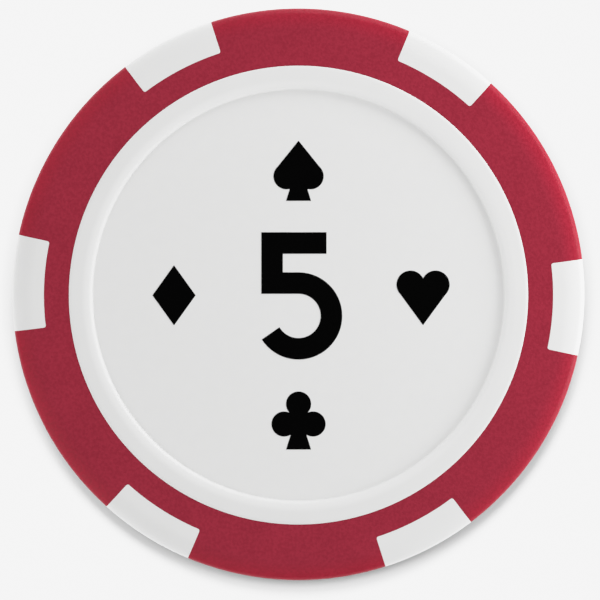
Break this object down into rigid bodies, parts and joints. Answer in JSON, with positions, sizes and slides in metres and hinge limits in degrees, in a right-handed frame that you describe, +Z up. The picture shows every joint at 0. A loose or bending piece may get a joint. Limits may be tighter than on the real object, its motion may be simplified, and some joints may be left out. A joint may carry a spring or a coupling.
{
  "type": "poker chip",
  "caption": "Round poker chip with a white hub, a red rim with white edge spots and a sunken printed label on each face; it stacks flat and fits round chip trays.",
  "frame": {"origin": "on the chip's axis, in the plane of the lower lip that the chip rests on", "axes": "+Z up along the chip's axis, out of its front face; +X through the middle of one edge spot"},
  "size_m": [0.04, 0.04, 0.0033],
  "materials": {
    "red_plastic": "fine moulded grain, satin",
    "white_plastic": "smooth, satin",
    "label_film": "smooth printed film, semi-matte",
    "adhesive": "pale, slightly glossy",
    "slug_steel": "punched sheet, zinc plated"
  },
  "bodies": {
    "root": {"steel_slug": "slug_steel", "white_core": "white_plastic", "red_rim": "red_plastic", "front_adhesive": "adhesive", "front_label": "label_film", "back_adhesive": "adhesive", "back_label": "label_film"}
  },
  "joints": []
}
